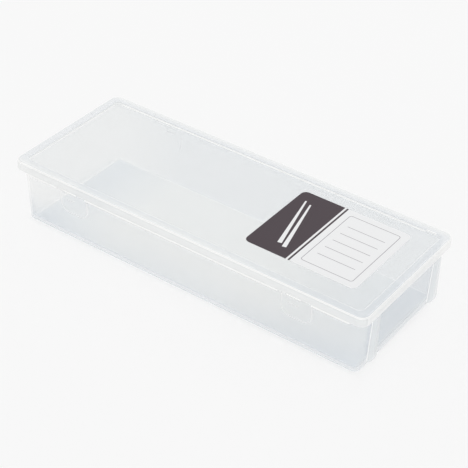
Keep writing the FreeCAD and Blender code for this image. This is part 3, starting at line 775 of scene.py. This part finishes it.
def label_prints(tree, settings):
    """Masks of the dark print, of the pale sticks on it, and of the ruled field beside it."""
    place = add_node(tree, "ShaderNodeTexCoord").outputs["Object"]
    local = add_node(tree, "ShaderNodeVectorMath", {0: place, 1: LABEL_MIDDLE}, operation="SUBTRACT")
    axes = add_node(tree, "ShaderNodeSeparateXYZ", {"Vector": local.outputs["Vector"]}).outputs

    def mark(x, y, half_length, half_width, taper=0.0, turn=0.0, corner=MARK_CORNER):
        return use_group(tree, print_mark, {
            "X": axes["X"], "Y": axes["Y"], "Middle X": x, "Middle Y": y, "Half Length": half_length,
            "Half Width": half_width, "Taper": taper, "Turn": turn, "Corner": corner,
        })["Mask"]

    left = -LABEL_LENGTH / 2
    stripe = left + settings.band_length + settings.stripe_gap + settings.stripe_length / 2
    dark = union(
        tree,
        mark(left, 0.0, settings.band_length, LABEL_WIDTH),
        mark(stripe, 0.0, settings.stripe_length / 2, LABEL_WIDTH),
    )
    band_middle = left + settings.band_length / 2
    half_spacing = settings.stick_spacing * settings.band_length / 2
    half_stagger = settings.stick_stagger / 2
    half_stick = settings.stick_length * LABEL_WIDTH / 2
    turn = RIGHT_ANGLE + settings.stick_lean
    sticks = union(tree, *(
        mark(
            band_middle + side * half_spacing, -side * half_stagger, half_stick, settings.stick_width / 2,
            settings.stick_taper, turn,
        )
        for side in (-1.0, 1.0)
    ))
    field_left = stripe + settings.margin
    field_right = LABEL_LENGTH / 2 - settings.margin
    field_middle = (field_left + field_right) / 2
    half_field = (field_right - field_left) / 2
    half_height = LABEL_WIDTH / 2 - settings.margin
    line = settings.line_width
    frame_line = calc(
        tree, "SUBTRACT",
        mark(field_middle, 0.0, half_field, half_height, corner=settings.frame_corner),
        mark(field_middle, 0.0, half_field - line, half_height - line, corner=settings.frame_corner - line),
    )
    rules = union(tree, frame_line, *(
        mark(field_middle, share * half_height, half_field - settings.margin, line / 2)
        for share in RULE_PLACES
    ))
    return dark, sticks, rules


class CHOPSTICKBOX_OT_label(bpy.types.Operator):
    """Print the label: a dark band with a pair of sticks, and a ruled field to write on"""
    bl_idname = "chopstick_box.label"
    bl_label = "Label"

    def execute(self, context):
        settings = context.scene.chopstick_box.label
        material, tree, shader = clear_material("printed_label_film")
        dark, sticks, rules = label_prints(tree, settings)
        film = mix_colour(tree, dark, settings.film_colour, settings.band_colour)
        film = mix_colour(tree, rules, film, settings.ink_colour)
        film = mix_colour(tree, sticks, film, settings.film_colour)
        place = add_node(tree, "ShaderNodeTexCoord").outputs["Object"]
        fibre = add_node(
            tree, "ShaderNodeTexNoise", {"Vector": place, "Scale": FIBRE_SCALE, "Detail": 3.0}
        ).outputs["Fac"]
        shade = mix_colour(tree, calc(tree, "MULTIPLY", fibre, FIBRE_SHADE), film, settings.ink_colour)
        smoother = calc(tree, "MULTIPLY_ADD", dark, -settings.band_gloss, settings.roughness)
        roughness = calc(tree, "MULTIPLY_ADD", fibre, FIBRE_FROST, smoother)
        bump = add_node(
            tree, "ShaderNodeBump", {"Height": fibre, "Strength": FILM_BUMP, "Distance": BUMP_DISTANCE}
        )
        put(tree, shader.inputs["Base Color"], shade)
        put(tree, shader.inputs["Roughness"], roughness)
        put(tree, shader.inputs["Alpha"], lamp_share(tree, settings.lamp_haze))
        put(tree, shader.inputs["Normal"], bump.outputs["Normal"])
        shader.inputs["IOR"].default_value = FILM_IOR
        dress(LABEL, material)
        return {"FINISHED"}


def seen_by_eye(tree):
    """A mask of the rays that show the surround to the camera, straight or through plastic."""
    path = add_node(tree, "ShaderNodeLightPath").outputs
    return union(tree, path["Is Camera Ray"], path["Is Transmission Ray"], path["Is Glossy Ray"])


def make_floor(settings):
    """A wide pale floor that shows white to the eye and still takes the object's shadow."""
    bpy.ops.object.select_all(action="DESELECT")
    bpy.ops.mesh.primitive_plane_add(size=FLOOR_SIZE, location=(0.0, 0.0, -FLOOR_DROP))
    floor = bpy.context.active_object
    floor.name = "studio_floor"
    material = bpy.data.materials.new("studio_floor_paint")
    tree = empty_tree(material)
    ground = opaque(settings.ground_colour)
    matt = add_node(tree, "ShaderNodeBsdfDiffuse", {"Color": ground})
    white = add_node(tree, "ShaderNodeEmission", {"Color": ground, "Strength": 1.0})
    under_box = outline(tree, object_place(tree), 2 * LID_HIGH.x, 2 * LID_HIGH.y, 0.0)["Distance"]
    seen = calc(tree, "MULTIPLY", seen_by_eye(tree), ramp(tree, under_box, *CONTACT_SHADE))
    share = calc(tree, "MULTIPLY", seen, 1.0 - settings.shadow_share)
    blend = add_node(tree, "ShaderNodeMixShader", {0: share, 1: matt.outputs[0], 2: white.outputs[0]})
    output = tree.nodes.new("ShaderNodeOutputMaterial")
    tree.links.new(blend.outputs[0], output.inputs["Surface"])
    floor.data.materials.append(material)


def make_surround(settings):
    """An even dome of light, white to the eye."""
    world = bpy.data.worlds.new("studio_dome")
    bpy.context.scene.world = world
    tree = empty_tree(world)
    dome = add_node(
        tree, "ShaderNodeBackground", {"Color": (1.0, 1.0, 1.0, 1.0), "Strength": settings.dome_strength}
    )
    ground = opaque(settings.ground_colour)
    white = add_node(tree, "ShaderNodeBackground", {"Color": ground, "Strength": 1.0})
    seen = seen_by_eye(tree)
    blend = add_node(tree, "ShaderNodeMixShader", {0: seen, 1: dome.outputs[0], 2: white.outputs[0]})
    output = tree.nodes.new("ShaderNodeOutputWorld")
    tree.links.new(blend.outputs[0], output.inputs["Surface"])


def make_lamp(name, place, size, power):
    """A soft square lamp turned towards the box."""
    data = bpy.data.lights.new(name, "AREA")
    data.shape = "SQUARE"
    data.size = size
    data.energy = power
    lamp = bpy.data.objects.new(name, data)
    bpy.context.scene.collection.objects.link(lamp)
    lamp.location = place
    lamp.rotation_euler = (-Vector(place)).to_track_quat("-Z", "Y").to_euler()


def make_camera(settings):
    """The camera that sees the box as the photo does."""
    data = bpy.data.cameras.new("photo_camera")
    data.sensor_width = SENSOR_WIDTH
    data.lens = settings.lens
    camera = bpy.data.objects.new("photo_camera", data)
    bpy.context.scene.collection.objects.link(camera)
    turn = Matrix.Rotation(settings.camera_heading - RIGHT_ANGLE, 3, "Z")
    dip = Matrix.Rotation(RIGHT_ANGLE - settings.camera_dip, 3, "X")
    roll = Matrix.Rotation(settings.camera_roll, 3, "Z")
    camera.location = settings.camera_place
    camera.rotation_euler = (turn @ dip @ roll).to_euler()
    bpy.context.scene.camera = camera


class CHOPSTICKBOX_OT_studio(bpy.types.Operator):
    """Set up the floor, the light and the camera"""
    bl_idname = "chopstick_box.studio"
    bl_label = "Studio"

    def execute(self, context):
        settings = context.scene.chopstick_box.studio
        context.scene.view_settings.view_transform = "Standard"
        context.scene.cycles.max_bounces = 32
        context.scene.cycles.diffuse_bounces = 16
        context.scene.cycles.transparent_max_bounces = 64
        make_floor(settings)
        make_surround(settings)
        make_lamp("left_softbox", settings.left_place, settings.left_size, settings.left_power)
        make_lamp("back_softbox", settings.back_place, settings.back_size, settings.back_power)
        make_lamp("front_lamp", settings.front_place, settings.front_size, settings.front_power)
        make_camera(settings)
        return {"FINISHED"}


class CHOPSTICKBOX_PT_panel(bpy.types.Panel):
    """Finishes of the chopstick box"""
    bl_idname = "CHOPSTICKBOX_PT_panel"
    bl_label = "Chopstick Box"
    bl_space_type = "VIEW_3D"
    bl_region_type = "UI"
    bl_category = "Chopstick Box"

    def draw(self, context):
        settings = context.scene.chopstick_box
        for operator, group in (
            (CHOPSTICKBOX_OT_tray, settings.tray),
            (CHOPSTICKBOX_OT_lid, settings.lid),
            (CHOPSTICKBOX_OT_label, settings.label),
            (CHOPSTICKBOX_OT_studio, settings.studio),
        ):
            column = self.layout.column()
            column.operator(operator.bl_idname)
            for name in group.bl_rna.properties.keys():
                if name not in {"rna_type", "name"}:
                    column.prop(group, name)


CLASSES = (
    TraySettings,
    LidSettings,
    LabelSettings,
    StudioSettings,
    BoxSettings,
    CHOPSTICKBOX_OT_tray,
    CHOPSTICKBOX_OT_lid,
    CHOPSTICKBOX_OT_label,
    CHOPSTICKBOX_OT_studio,
    CHOPSTICKBOX_PT_panel,
)


def register():
    for item in CLASSES:
        bpy.utils.register_class(item)
    bpy.types.Scene.chopstick_box = PointerProperty(type=BoxSettings)


def unregister():
    del bpy.types.Scene.chopstick_box
    for item in reversed(CLASSES):
        bpy.utils.unregister_class(item)


def main():
    """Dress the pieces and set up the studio."""
    register()
    bpy.ops.chopstick_box.tray()
    bpy.ops.chopstick_box.lid()
    bpy.ops.chopstick_box.label()
    bpy.ops.chopstick_box.studio()


if __name__ == "__main__":
    main()
